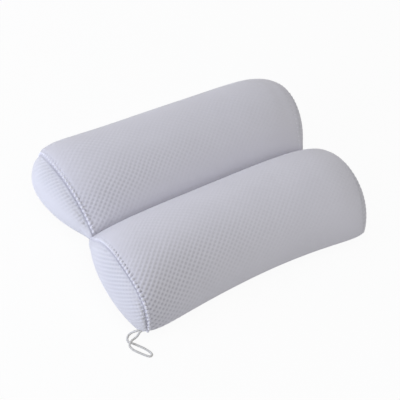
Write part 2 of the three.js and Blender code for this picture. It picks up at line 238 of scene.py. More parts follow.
class StageSizes(bpy.types.PropertyGroup):
    """Camera and lamps."""

    azimuth: number("Azimuth", "Turn of the camera", math.radians(-28.954), subtype="ANGLE")
    elevation: number("Elevation", "Height of the camera", math.radians(47.537), subtype="ANGLE")
    distance: length("Distance", "From the camera to its target", 2.3341)
    lens: number("Lens", "Focal length", 170.15, unit="CAMERA")
    target: number("Target", "What the camera looks at", (-0.01305, -0.02509, 0.0458), subtype="XYZ")
    left_lamp: number("Left lamp", "Low softbox at the left", 8.5, unit="POWER")
    front_lamp: number("Front lamp", "High softbox in front", 3.9, unit="POWER")
    back_lamp: number("Back lamp", "Low softbox behind", 3.1, unit="POWER")
    sky: number("Sky", "Strength of the even light from all round", 0.38)


class PillowSettings(bpy.types.PropertyGroup):
    """All sizes and colours of the pillow."""

    roll: bpy.props.PointerProperty(type=RollSizes)
    cloth: bpy.props.PointerProperty(type=ClothSizes)
    sewing: bpy.props.PointerProperty(type=SewingSizes)
    cup: bpy.props.PointerProperty(type=CupSizes)
    colours: bpy.props.PointerProperty(type=FinishColours)
    stage: bpy.props.PointerProperty(type=StageSizes)


def settings():
    return bpy.context.scene.bath_pillow


# Counts of cells on a roll's bag: along it, over its crown, down its ends and under its outer edge.
ALONG = 44
OVER = 31
DOWN = 9
TUCK = 6
# Cells beside the end seams and beside the hinge and outer edge in which the bag is held back.
HELD_ALONG = 7
HELD_OVER = 6
# Fine steps to a cell of a cover, and to its first and last cell, beside the end seams.
CELL_STEPS = 5
SEAM_STEPS = 14
# Frames in which the bag swells.
FRAMES = 20
# Middle and width of the dip in a crown, as shares of half the roll's length.
SAG_MIDDLE = 0.38
SAG_WIDTH = 0.3


class RollForm:
    """Form of one filled roll. Along it, u runs from -1 at the left end seam to 1 at the right one."""

    def __init__(self, name):
        self.sizes = settings().roll
        self.back = int(name == "back")

    def at_end(self, values, u):
        return values[2 * self.back + int(u > 0)]

    def depth(self, u):
        r = self.sizes
        draw = self.at_end(r.waist_draw, u) * u**2 - self.at_end(r.corner_draw, u) * u**r.draw_power
        return r.depth[self.back] - r.hinge_gap + draw - r.end_lean * u

    def crown_line(self, u):
        """Points from the hinge over the crown to the outer edge, evenly spaced along the cloth."""
        r = self.sizes
        angle = np.linspace(0, math.pi, 721)
        inner = r.crown_power + (self.at_end(r.hinge_power, u) - r.crown_power) * u**4
        outer = r.crown_power + (self.at_end(r.outer_power, u) - r.crown_power) * u**4
        power = np.where(angle < math.pi / 2, 2 / inner, 2 / outer)
        rise = r.height[self.back] - self.at_end(r.end_drop, u) * u**r.drop_power - r.edge_height
        rise -= r.crown_sag[self.back] * hump(u - SAG_MIDDLE, SAG_WIDTH)
        y = r.hinge_gap + self.depth(u) * (1 - np.sign(np.cos(angle)) * np.abs(np.cos(angle)) ** power) / 2
        z = r.edge_height + rise * np.abs(np.sin(angle)) ** power
        run = np.concatenate([[0], np.cumsum(np.hypot(np.diff(y), np.diff(z)))])
        even = np.linspace(0, run[-1], OVER + 1)
        return np.interp(even, run, y), np.interp(even, run, z)

    def underside(self, u, y):
        r = self.sizes
        outer = r.hinge_gap + self.depth(u)
        ramp = np.clip(1 - (y - r.hinge_gap) / r.hinge_ramp, 0, 1)
        tuck = np.clip(1 - (outer - y) / r.outer_tuck, 0, 1)
        return r.edge_height * (ramp**r.ramp_ease + 1 - np.sqrt(1 - tuck**2))

    def bulge(self, u, across, level):
        """Swelling of an end panel past its seam: a leaf, fullest towards the outer edge."""
        r = self.sizes
        peak = r.hinge_taper / (r.hinge_taper + r.outer_taper)
        leaf = across**r.hinge_taper * (1 - across) ** r.outer_taper
        leaf /= peak**r.hinge_taper * (1 - peak) ** r.outer_taper
        above = np.clip((level - r.bulge_level) / (1 - r.bulge_level), 0, 1)
        below = np.clip((r.bulge_level - level) / r.bulge_level, 0, 1)
        most = self.at_end(r.end_bulge, u)
        return leaf * (most * (1 - above**2) - (most - r.base_bulge) * below**2)

    def place(self, u, across, y, z, reach):
        """Points of the back roll in the frame; the valley's sides lean together."""
        r = self.sizes
        bow = self.at_end(r.seam_bow, u) * 4 * across * (1 - across)
        turn = self.at_end(r.seam_slant, u) * across**2 - self.at_end(r.corner_round, u) * across**8
        turn = turn - self.at_end(r.hinge_round, u) * (1 - across) ** 16
        x = u * self.at_end(r.seam_reach, u) + np.sign(u) * u**4 * (bow + turn + reach)
        press = (y - r.valley_gap) * hump(y - r.hinge_gap, r.valley_reach)
        return np.stack(np.broadcast_arrays(x, y - press, z + BASE_LEVEL), -1)

    def grids(self):
        """The roll as three grids: its crown, its underside and its two ends."""
        crown = np.zeros((ALONG + 1, OVER + 1, 3))
        under = np.zeros_like(crown)
        ends = np.zeros((2, DOWN + 1, OVER + 1, 3))
        for i, u in enumerate(np.linspace(-1, 1, ALONG + 1)):
            y, z = self.crown_line(u)
            low = self.underside(u, y)
            across = np.clip((y - self.sizes.hinge_gap) / self.depth(u), 0, 1)
            crown[i] = self.place(u, across, y, z, 0)
            under[i] = self.place(u, across, y, low, self.bulge(u, across, 0))
            if abs(u) == 1:
                for row, level in enumerate(np.linspace(0, 1, DOWN + 1)):
                    reach = self.bulge(u, across, level)
                    ends[int(u > 0), row] = self.place(u, across, y, low + level * (z - low), reach)
        return crown, under, ends


def bag_faces():
    """Corner numbers of the bag's faces, and the number of each grid point."""
    ring = 2 * OVER
    crown = np.arange(ALONG + 1)[:, None] * ring + np.arange(OVER + 1)
    under = np.arange(ALONG + 1)[:, None] * ring + (ring - np.arange(OVER + 1)) % ring
    ends = np.zeros((2, DOWN + 1, OVER + 1), int)
    spare = (ALONG + 1) * ring
    for end, station in ((0, 0), (1, ALONG)):
        ends[end, 0], ends[end, DOWN] = under[station], crown[station]
        ends[end, :, 0], ends[end, :, OVER] = crown[station, 0], crown[station, OVER]
        inner = (DOWN - 1) * (OVER - 1)
        ends[end, 1:DOWN, 1:OVER] = spare + np.arange(inner).reshape(DOWN - 1, OVER - 1)
        spare += inner
    faces = []
    for grid in (crown, under, ends[0], ends[1]):
        for a, b, c, d in zip(
            grid[:-1, :-1].ravel(), grid[:-1, 1:].ravel(), grid[1:, 1:].ravel(), grid[1:, :-1].ravel()
        ):
            faces.append(list(dict.fromkeys((a, b, c, d))))
    return faces, crown, under, ends, spare


def eased(share):
    """0 to 1 with a gentle start and finish."""
    share = np.clip(share, 0, 1)
    return share**2 * (3 - 2 * share)


def hump(distance, width):
    """1 in the middle, falling smoothly to nothing past its width."""
    return np.exp(-((distance / width) ** 2))


# Grids of the rolls that have swelled.
SWOLLEN = {}


def swollen_roll(name):
    """The roll's grids after its bag of cloth has swelled over the filling."""
    if name in SWOLLEN:
        return SWOLLEN[name]
    s = settings()
    crown, under, ends = RollForm(name).grids()
    faces, crown_at, under_at, ends_at, count = bag_faces()
    full = np.zeros((count, 3))
    loose = np.zeros(count)
    along = eased(np.minimum(np.arange(ALONG + 1), np.arange(ALONG, -1, -1)) / HELD_ALONG)
    over = eased(np.minimum(np.arange(OVER + 1), np.arange(OVER, -1, -1)) / HELD_OVER)
    full[ends_at], full[under_at], full[crown_at] = ends, under, crown
    down = np.sin(np.linspace(0, math.pi, DOWN + 1))
    wide = np.sin(np.linspace(0, math.pi, OVER + 1))
    loose[ends_at] = down[:, None] * wide
    loose[under_at] = 0
    loose[crown_at] = along[:, None] * over
    bag = new_mesh(f"{name}_bag", full, faces)
    normals = np.zeros(count * 3)
    bag.data.vertices.foreach_get("normal", normals)
    start = full - normals.reshape(-1, 3) * (loose * s.cloth.slack)[:, None]
    swelled = full + s.cloth.give * (swell(bag, start, loose, s.cloth) - full)
    crown, under, ends = swelled[crown_at], swelled[under_at], swelled[ends_at]
    flip = np.array([1, ROLLS[name], 1])
    SWOLLEN[name] = (crown * flip, under * flip, ends * flip)
    return SWOLLEN[name]


def swell(bag, start, loose, cloth):
    """Runs the cloth under pressure, holds its seams and caps its movement."""
    bag.data.vertices.foreach_set("co", start.ravel())
    bag.data.update()
    held = bag.vertex_groups.new(name="held")
    held.add([i for i, free in enumerate(loose) if free == 0], 1, "REPLACE")
    modifier = bag.modifiers.new("Swelling", "CLOTH")
    sim = modifier.settings
    sim.quality = 6
    sim.mass = 0.2
    sim.tension_stiffness = sim.compression_stiffness = cloth.stretch
    sim.shrink_min = -cloth.ease
    sim.use_pressure = True
    sim.uniform_pressure_force = cloth.pressure
    sim.effector_weights.gravity = 0
    sim.vertex_group_mass = "held"
    scene = bpy.context.scene
    modifier.point_cache.frame_start = 1
    modifier.point_cache.frame_end = FRAMES
    for step in range(1, FRAMES + 1):
        scene.frame_set(step)
    pick(bag)
    bpy.ops.object.modifier_apply(modifier=modifier.name)
    scene.frame_set(1)
    swelled = vertices(bag)
    moved = swelled - start
    far = np.linalg.norm(moved, axis=1, keepdims=True)
    swelled = start + moved * np.minimum(1, cloth.swell_cap / np.maximum(far, 1e-9))
    bpy.data.objects.remove(bag)
    return swelled


# Modelling helpers.
def deselect():
    if bpy.context.object and bpy.context.object.mode != "OBJECT":
        bpy.ops.object.mode_set(mode="OBJECT")
    bpy.ops.object.select_all(action="DESELECT")


def pick(obj):
    deselect()
    obj.select_set(True)
    bpy.context.view_layer.objects.active = obj


def vertices(obj):
    points = np.zeros(len(obj.data.vertices) * 3)
    obj.data.vertices.foreach_get("co", points)
    return points.reshape(-1, 3)


def add_object(name, points, edges, faces):
    mesh = bpy.data.meshes.new(name)
    mesh.from_pydata(points, edges, faces)
    obj = bpy.data.objects.new(name, mesh)
    bpy.context.collection.objects.link(obj)
    pick(obj)
    return obj


def mend(obj, merge=0, outward=True):
    """Merges doubled points and turns the faces outwards."""
    pick(obj)
    bpy.ops.object.mode_set(mode="EDIT")
    bpy.ops.mesh.select_all(action="SELECT")
    if merge:
        bpy.ops.mesh.remove_doubles(threshold=merge)
    if outward:
        bpy.ops.mesh.normals_make_consistent(inside=False)
    bpy.ops.object.mode_set(mode="OBJECT")


def new_mesh(name, points, faces):
    obj = add_object(name, [tuple(p) for p in points], [], [tuple(int(i) for i in f) for f in faces])
    mend(obj)
    return obj


def panel(name, points):
    """A grid primitive laid on the given rows and columns of points."""
    rows, columns = points.shape[:2]
    deselect()
    bpy.ops.mesh.primitive_grid_add(x_subdivisions=columns - 1, y_subdivisions=rows - 1, size=2)
    obj = bpy.context.object
    obj.name = obj.data.name = name
    obj.data.vertices.foreach_set("co", points.reshape(-1))
    obj.data.update()
    return obj


def thicken(obj, thickness):
    modifier = obj.modifiers.new("Thickness", "SOLIDIFY")
    modifier.thickness = thickness
    modifier.offset = -1
    pick(obj)
    bpy.ops.object.modifier_apply(modifier=modifier.name)
    bpy.ops.object.shade_smooth()


def mark(obj, name, values):
    attribute = obj.data.attributes.new(name, "FLOAT", "POINT")
    attribute.data.foreach_set("value", np.ascontiguousarray(values, np.float32).ravel())


def spline_weights(count, steps):
    """Weights that carry count points to the given steps, whole or part, on a smooth curve."""
    first = np.clip(np.floor(steps).astype(int), 0, count - 2)
    f = steps - first
    basis = (
        -0.5 * f + f**2 - 0.5 * f**3,
        1 - 2.5 * f**2 + 1.5 * f**3,
        0.5 * f + 2 * f**2 - 1.5 * f**3,
        -0.5 * f**2 + 0.5 * f**3,
    )
    weights = np.zeros((len(steps), count + 2))
    for offset, share in enumerate(basis):
        weights[np.arange(len(steps)), first + offset] = share
    for outer, end, inner in ((0, 1, 2), (-1, -2, -3)):
        weights[:, end] += 2 * weights[:, outer]
        weights[:, inner] -= weights[:, outer]
    return weights[:, 1:-1]


def refine(points, row_steps, column_steps):
    down = spline_weights(points.shape[0], row_steps)
    along = spline_weights(points.shape[1], column_steps)
    return np.einsum("ai,bj,ijk->abk", down, along, points)


def grid_normals(points):
    normals = np.cross(np.gradient(points, axis=1), np.gradient(points, axis=0))
    return normals / np.maximum(np.linalg.norm(normals, axis=2, keepdims=True), 1e-12)


def diamond(along, across, lead):
    """Depth of the mesh's cells, 0 on the threads and 1 amid a cell; one family of threads may lead."""
    steep = np.sin(math.pi * (along + across)) ** 2
    flat = np.sin(math.pi * (along - across)) ** 2
    return steep * (lead + (1 - lead) * flat)


# The left part of a roll, where the open band of cells moves and widens, and what stays open at the right.
LEFT_RUN = 0.2
LEFT_SHIFT = 0.12
LEFT_WIDENING = 0.5
RIGHT_OPENING = 0.08


def openness(side, over, along, cloth):
    """How wide the cells stand open: most on the shoulder that looks forward, least at the right."""
    back = int(side > 0)
    left = hump(along, LEFT_RUN)
    middle = cloth.shoulder[back] - side * LEFT_SHIFT * left
    band = hump(over - middle, cloth.shoulder_width[back] * (1 + LEFT_WIDENING * left))
    return cloth.opening[back] * band * (RIGHT_OPENING + (1 - RIGHT_OPENING) * (1 - along) ** 2)


def seam_pull(gap, phase, cloth):
    """How far a seam draws the cloth in, by the distance from it and the count of stitches along it."""
    groove = cloth.groove * hump(gap, cloth.groove_width)
    pucker = cloth.pucker * np.cos(2 * math.pi * phase) * np.exp(-gap / cloth.pucker_reach)
    return groove + pucker + cloth.needle_pit * needle_row(gap, phase, cloth)


# Shares of the way over a roll: where a seam's painted crease shade is full, and where it fades.
SHADE_FULL_BY = 0.05
SHADE_FADE_FROM = 0.45
SHADE_FADE_RUN = 0.4
# Widths of a seam's painted crease shade and of the dents beside it, and how dark their painted shade is.
CREASE_SHADE_WIDTH = 0.0024
DENT_WIDTH = 0.001
DENT_SHADE_SHARE = 0.8


def seam_shade_strength(low_side):
    """Strength of an end seam's painted crease shade: most where it faces forward, least at its ends."""
    return (1 - eased((low_side - SHADE_FADE_FROM) / SHADE_FADE_RUN)) * eased(low_side / SHADE_FULL_BY)


def needle_row(gap, phase, cloth):
    """1 in the middle of each dent along a seam, 0 away from them."""
    return hump(gap - cloth.needle_gap, DENT_WIDTH) * np.clip(np.cos(2 * math.pi * phase), 0, 1) ** 2


def seam_share(toward):
    """How much an end seam stands out beside the left ones."""
    return settings().sewing.right_share if toward > 0 else 1


def run_along(points):
    """Length along a row of points, from its start."""
    return np.concatenate([[0], np.cumsum(np.linalg.norm(np.diff(points, axis=0), axis=1))])


def even_path(points, pitch):
    """The points of a path again, evenly spaced by about the pitch."""
    fine = spline_weights(len(points), np.linspace(0, len(points) - 1, 40 * len(points))) @ points
    run = run_along(fine)
    count = max(2, round(run[-1] / pitch) + 1)
    even = np.linspace(0, run[-1], count)
    return np.stack([np.interp(even, run, fine[:, k]) for k in range(3)], -1)


def frames_on(path, up):
    """Direction, side and up vectors at each point of a path."""
    ahead = np.gradient(path, axis=0)
    ahead /= np.linalg.norm(ahead, axis=1, keepdims=True)
    side = np.cross(ahead, up)
    side /= np.linalg.norm(side, axis=1, keepdims=True)
    return ahead, side, np.cross(side, ahead)


def carried_frames(path):
    """The same, with the up vector carried along the path without twist."""
    ahead = np.gradient(path, axis=0)
    ahead /= np.linalg.norm(ahead, axis=1, keepdims=True)
    up = np.zeros_like(path)
    up[0] = (0, 0, 1)
    for i in range(len(path)):
        guess = up[max(i - 1, 0)]
        guess = guess - ahead[i] * np.dot(guess, ahead[i])
        up[i] = guess / np.linalg.norm(guess)
    return ahead, np.cross(ahead, up), up


def tube(name, path, side, up, radius):
    """A closed tube on the path; radius has a value for each ring and side."""
    rings, sides = radius.shape
    turn = np.arange(sides) * 2 * math.pi / sides
    spokes = np.cos(turn)[None, :, None] * side[:, None] + np.sin(turn)[None, :, None] * up[:, None]
    points = (path[:, None] + spokes * radius[..., None]).reshape(-1, 3)
    faces = [
        (i * sides + j, i * sides + (j + 1) % sides, (i + 1) * sides + (j + 1) % sides, (i + 1) * sides + j)
        for i in range(rings - 1)
        for j in range(sides)
    ]
    faces.append(tuple(range(sides)))
    faces.append(tuple((rings - 1) * sides + j for j in range(sides)))
    obj = new_mesh(name, points, faces)
    bpy.ops.object.shade_smooth()
    return obj


def stitch_shape(long, wide, high):
    """One stitch: a plump bundle of threads that dips at both ends."""
    deselect()
    bpy.ops.mesh.primitive_uv_sphere_add(segments=10, ring_count=7, radius=1, rotation=(0, math.pi / 2, 0))
    obj = bpy.context.object
    bpy.ops.object.transform_apply(location=False, rotation=True, scale=False)
    points = vertices(obj)
    points[:, 1] *= 1 - 0.25 * points[:, 0] ** 2
    points *= np.array((long / 2, wide / 2, high / 2))
    points[:, 2] -= 0.6 * high * (points[:, 0] / (long / 2)) ** 2
    faces = [tuple(f.vertices) for f in obj.data.polygons]
    bpy.data.objects.remove(obj)
    return points, faces


def stitches(name, path, up, slant, sizes, lift=0):
    """A row of like stitches, one on each point of the path, turned by the slant and lifted off it."""
    ahead, side, up = frames_on(path, up)
    shape, shape_faces = stitch_shape(*sizes)
    turned = math.cos(slant) * ahead + math.sin(slant) * side
    beside = math.cos(slant) * side - math.sin(slant) * ahead
    points = (
        (path + up * lift)[:, None]
        + shape[None, :, 0:1] * turned[:, None]
        + shape[None, :, 1:2] * beside[:, None]
        + shape[None, :, 2:3] * up[:, None]
    ).reshape(-1, 3)
    faces = [tuple(i + k * len(shape) for i in f) for k in range(len(path)) for f in shape_faces]
    obj = new_mesh(name, points, faces)
    bpy.ops.object.shade_smooth()
    return obj


def join(*objects):
    deselect()
    for obj in objects:
        obj.select_set(True)
    bpy.context.view_layer.objects.active = objects[0]
    bpy.ops.object.join()
    return objects[0]


# Points of a turned piece or an end panel that lie closer than this are one.
MERGE = 1e-6
PANEL_MERGE = 1e-5


def turned_piece(name, profile, centre, sides):
    """A profile of radius and height pairs, spun about an upright axis by a Screw modifier."""
    edges = [(i, i + 1) for i in range(len(profile) - 1)]
    obj = add_object(name, [(r, 0, z) for r, z in profile], edges, [])
    screw = obj.modifiers.new("Turning", "SCREW")
    screw.steps = screw.render_steps = sides
    screw.use_merge_vertices = True
    screw.merge_threshold = MERGE
    bpy.ops.object.modifier_apply(modifier=screw.name)
    mend(obj, MERGE)
    bpy.ops.object.shade_smooth_by_angle(angle=math.radians(35))
    obj.data.transform(Matrix.Translation(centre))
    return obj


def finish_piece(obj, body, slot, material, *nodes):
    obj.data.materials.clear()
    obj.data.materials.append(material)
    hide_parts(*nodes)
    if body:
        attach(obj, body)


# Materials.
def base_material(name, tint, roughness):
    if name in bpy.data.materials:
        return bpy.data.materials[name], None
    material = bpy.data.materials.new(name)
    material.use_nodes = True
    shader = material.node_tree.nodes["Principled BSDF"]
    shader.inputs["Base Color"].default_value = (*tint, 1)
    shader.inputs["Roughness"].default_value = roughness
    return material, shader


def node(material, kind, **values):
    made = material.node_tree.nodes.new(kind)
    for key, value in values.items():
        setattr(made, key, value)
    return made


def noise(material, scale, detail):
    place_at = node(material, "ShaderNodeTexCoord")
    grain = node(material, "ShaderNodeTexNoise")
    grain.inputs["Scale"].default_value = scale
    grain.inputs["Detail"].default_value = detail
    material.node_tree.links.new(place_at.outputs["Object"], grain.inputs["Vector"])
    return grain


def tinted(material, shader, source, low, high):
    """Colour between two tints, by the value of a source."""
    mix = node(material, "ShaderNodeMix", data_type="RGBA")
    mix.inputs["A"].default_value = (*low, 1)
    mix.inputs["B"].default_value = (*high, 1)
    links = material.node_tree.links
    links.new(source, mix.inputs["Factor"])
    links.new(mix.outputs["Result"], shader.inputs["Base Color"])
    return mix


def bumped(material, shader, source, strength, distance):
    bump = node(material, "ShaderNodeBump")
    bump.inputs["Strength"].default_value = strength
    bump.inputs["Distance"].default_value = distance
    links = material.node_tree.links
    links.new(source, bump.inputs["Height"])
    links.new(bump.outputs["Normal"], shader.inputs["Normal"])


def mesh_material(name, thread, cell):
    """Open mesh: pale threads, painted shade in cells and creases, a fine knitted grain and a soft sheen."""
    material, shader = base_material(name, thread, 0.88)
    if shader is None:
        return material
    shader.inputs["Sheen Weight"].default_value = 0.15
    shader.inputs["Sheen Roughness"].default_value = 0.5
    links = material.node_tree.links
    # The "cell" attribute holds painted shade, which darkens the threads' tint towards the cell tint.
    depth = node(material, "ShaderNodeAttribute", attribute_name="cell")
    mix = tinted(material, shader, depth.outputs["Fac"], thread, cell)
    patches = noise(material, 22, 2)
    shade = node(material, "ShaderNodeMapRange")
    shade.inputs["To Min"].default_value = 0.96
    shade.inputs["To Max"].default_value = 1.03
    links.new(patches.outputs["Fac"], shade.inputs["Value"])
    uneven = node(material, "ShaderNodeVectorMath", operation="SCALE")
    links.new(mix.outputs["Result"], uneven.inputs[0])
    links.new(shade.outputs["Result"], uneven.inputs["Scale"])
    links.new(uneven.outputs["Vector"], shader.inputs["Base Color"])
    bumped(material, shader, noise(material, 1300, 1).outputs["Fac"], 0.25, 0.0003)
    return material


def plain_material(name, tint, roughness, spread, scale, strength, distance):
    """Colour that varies a little, with a fine grain."""
    material, shader = base_material(name, tint, roughness)
    if shader is None:
        return material
    low = tuple(c * (1 - spread) for c in tint)
    high = tuple(min(1, c * (1 + spread)) for c in tint)
    tinted(material, shader, noise(material, scale / 12, 2).outputs["Fac"], low, high)
    bumped(material, shader, noise(material, scale, 2).outputs["Fac"], strength, distance)
    return material


def base_fabric():
    tint = settings().colours.base
    return plain_material(
        "fine_base_mesh", tint, 0.85, spread=0.05, scale=1500, strength=0.4, distance=0.0004
    )


def thread_material():
    tint = settings().colours.thread
    return plain_material(
        "overlock_thread", tint, 0.7, spread=0.05, scale=2200, strength=0.35, distance=0.0002
    )


def vinyl_material():
    tint = settings().colours.vinyl
    material = plain_material(
        "clear_soft_vinyl", tint, 0.16, spread=0.03, scale=160, strength=0.05, distance=0.0003
    )
    shader = material.node_tree.nodes["Principled BSDF"]
    shader.inputs["Transmission Weight"].default_value = 0.35
    shader.inputs["IOR"].default_value = 1.5
    return material


# Side of a softbox, the height that the lamps aim at, and the floor, just below the cups, which glows white.
LAMP_SIZE = 0.7
LAMP_AIM = 0.04
FLOOR_SIZE = 9
FLOOR_LEVEL = -0.0002
FLOOR_GLOW = 0.94


class StageOperator(bpy.types.Operator):
    """Set up the floor, the lamps and the camera"""

    bl_idname = "bath_pillow.stage"
    bl_label = "Stage"

    def execute(self, context):
        s = settings().stage
        scene = context.scene
        scene.view_settings.view_transform = "Standard"
        flat = math.cos(s.elevation)
        back = Vector((math.sin(s.azimuth) * flat, -math.cos(s.azimuth) * flat, math.sin(s.elevation)))
        deselect()
        bpy.ops.object.camera_add(location=Vector(s.target) + back * s.distance)
        camera = context.object
        camera.rotation_euler = (-back).to_track_quat("-Z", "Y").to_euler()
        camera.data.lens = s.lens
        camera.data.sensor_width = 36
        scene.camera = camera
        self.lamp("left_softbox", (-1.20, 0.21, 0.445), s.left_lamp, (0.76, 0.815, 1.0))
        self.lamp("front_softbox", (0, -0.55, 1.18), s.front_lamp, (1, 1, 1))
        self.lamp("back_softbox", (0, 1.22, 0.445), s.back_lamp, (1, 1, 1))
        self.sky(scene, s.sky)
        self.floor()
        return {"FINISHED"}

    def lamp(self, name, spot, power, tint):
        deselect()
        bpy.ops.object.light_add(type="AREA", location=spot)
        lamp = bpy.context.object
        lamp.name = name
        lamp.data.size = LAMP_SIZE
        lamp.data.energy = power
        lamp.data.color = tint
        aim = Vector((0, 0, LAMP_AIM)) - Vector(spot)
        lamp.rotation_euler = aim.to_track_quat("-Z", "Y").to_euler()

    def sky(self, scene, strength):
        world = scene.world or bpy.data.worlds.new("white_surround")
        scene.world = world
        world.use_nodes = True
        tree = world.node_tree
        tree.nodes.clear()
        lights = []
        for level in (strength, 1):
            light = tree.nodes.new("ShaderNodeBackground")
            light.inputs["Color"].default_value = (1, 1, 1, 1)
            light.inputs["Strength"].default_value = level
            lights.append(light)
        mixed = mixed_shader(tree, seen_directly(tree), *lights)
        tree.links.new(mixed, tree.nodes.new("ShaderNodeOutputWorld").inputs["Surface"])

    def floor(self):
        deselect()
        bpy.ops.mesh.primitive_grid_add(
            x_subdivisions=4, y_subdivisions=4, size=FLOOR_SIZE, location=(0, 0, FLOOR_LEVEL)
        )
        floor = bpy.context.object
        floor.name = "white_floor"
        material, paper = base_material("white_paper", (0.82, 0.82, 0.82), 0.9)
        tree = material.node_tree
        glow = tree.nodes.new("ShaderNodeEmission")
        glow.inputs["Strength"].default_value = 1
        share = math_node(tree, "MULTIPLY", seen_directly(tree))
        share.inputs[1].default_value = FLOOR_GLOW
        mixed = mixed_shader(tree, share.outputs[0], paper, glow)
        tree.links.new(mixed, tree.nodes["Material Output"].inputs["Surface"])
        floor.data.materials.append(material)


def math_node(tree, operation, *sources):
    made = tree.nodes.new("ShaderNodeMath")
    made.operation = operation
    for source, socket in zip(sources, made.inputs):
        tree.links.new(source, socket)
    return made


def mixed_shader(tree, factor, first, second):
    mix = tree.nodes.new("ShaderNodeMixShader")
    tree.links.new(factor, mix.inputs["Fac"])
    tree.links.new(first.outputs[0], mix.inputs[1])
    tree.links.new(second.outputs[0], mix.inputs[2])
    return mix.outputs[0]


def seen_directly(tree):
    """1 for rays from the camera, for reflections and through clear pieces, 0 for light on the object."""
    rays = tree.nodes.new("ShaderNodeLightPath").outputs
    either = math_node(tree, "MAXIMUM", rays["Is Camera Ray"], rays["Is Glossy Ray"])
    return math_node(tree, "MAXIMUM", either.outputs[0], rays["Is Transmission Ray"]).outputs[0]


# The loop's cord: its rings' spacing and sides, its braid's pitch, and the braid's core and relief as shares
# of the radius.
CORD_STEP = 0.0004
CORD_SIDES = 16
BRAID_PITCH = 0.0042
BRAID_CORE = 0.96
BRAID_RELIEF = 0.12


class HangingLoopOperator(bpy.types.Operator):
    """Lay the braided cord loop on the floor, from the front left seam and back into it"""

    bl_idname = "bath_pillow.hanging_loop"
    bl_label = "Hanging Loop"

    def execute(self, context):
        s = settings()
        path = even_path(np.array(LOOP_ROUTE), CORD_STEP)
        _, side, up = carried_frames(path)
        run = run_along(path)[:, None] / BRAID_PITCH
        turn = 2 * np.arange(CORD_SIDES)[None, :] / CORD_SIDES
        strands = [np.abs(np.sin(math.pi * (run + way * turn))) for way in (1, -1)]
        radius = s.sewing.cord / 2 * (BRAID_CORE + BRAID_RELIEF * np.maximum(*strands))
        loop = tube("hanging_loop_cord", path, side, up, radius)
        yarn = plain_material(
            "braided_cord", s.colours.cord, 0.8, spread=0.06, scale=2500, strength=0.3, distance=0.0002
        )
        finish_piece(loop, "front_roll", "cord", yarn, "hanging_loop")
        return {"FINISHED"}


def mesh_skin(name, points, cells, outward):
    """Mesh cloth on a grid of points, with painted shade in its cells and creases for the material to read.
    """
    way = 1 if outward else -1
    skin = panel(name, points[:, ::way])
    mark(skin, "cell", cells[:, ::way])
    thicken(skin, settings().cloth.cover_thickness)
    return skin


# Waves in the covers' threads: height in cells, and turn for each cell along and across.
WAVE = 0.1
WAVE_ALONG = 0.45
WAVE_ACROSS = 0.7
# Share of the cells' spread that widens them at the left; the rest narrows them at the right.
CELL_BALANCE = 0.45
# Shares of the way over and along a roll in which closed cells deepen.
CLOSED_FROM = 0.08
CLOSED_RUN = 0.4
CLOSED_LEFT = 0.25


def low_share(side, rows):
    """Share of the way over a roll, from the side that the picture shows lower."""
    return (1 - side) / 2 + side * rows / OVER


def cover_cells(side, rows, columns, across):
    """Depth of a cover's cells, and the painted shade in them, strongest where they open most."""
    cloth = settings().cloth
    spread = cloth.cell_spread[int(side > 0)]
    drawn_out = columns * (1 - CELL_BALANCE * spread + spread * columns / (2 * ALONG))
    thread = (drawn_out + WAVE * np.sin(WAVE_ALONG * columns + WAVE_ACROSS * across), -side * across)
    opening = openness(side, rows / OVER, columns / ALONG, cloth)
    deepened = eased((low_share(side, rows) - CLOSED_FROM) / CLOSED_RUN)
    closed = cloth.crown_share * deepened * (1 + hump(columns / ALONG, CLOSED_LEFT))
    relief = cloth.relief * (closed + (1 - cloth.crown_share) * opening)
    # The second value is painted shade in the cells, as strong as they stand open.
    return diamond(*thread, cloth.lead) * relief, opening * diamond(*thread, 0)


def cover_seams(side, rows, columns, points):
    """How far a cover's end seams draw it in, and the painted shade in their creases and dents."""
    s = settings()
    gap = np.minimum(columns, ALONG - columns) * s.cloth.cell
    at_left = columns < ALONG / 2
    phase = np.where(at_left, run_along(points[:, 0])[:, None], run_along(points[:, -1])[:, None])
    phase = phase / s.sewing.end_stitch_pitch
    share = np.where(at_left, seam_share(-1), seam_share(1))
    fade = eased(np.minimum(rows, OVER - rows) / OVER / s.cloth.seam_fade)
    # Painted shade: the colour darkens in each seam's crease and needle dents, less at the right seams.
    dark = np.maximum(DENT_SHADE_SHARE * needle_row(gap, phase, s.cloth), hump(gap, CREASE_SHADE_WIDTH))
    return share * fade * seam_pull(gap, phase, s.cloth), share**2 * seam_shade_strength(low_share(side, rows)) * dark


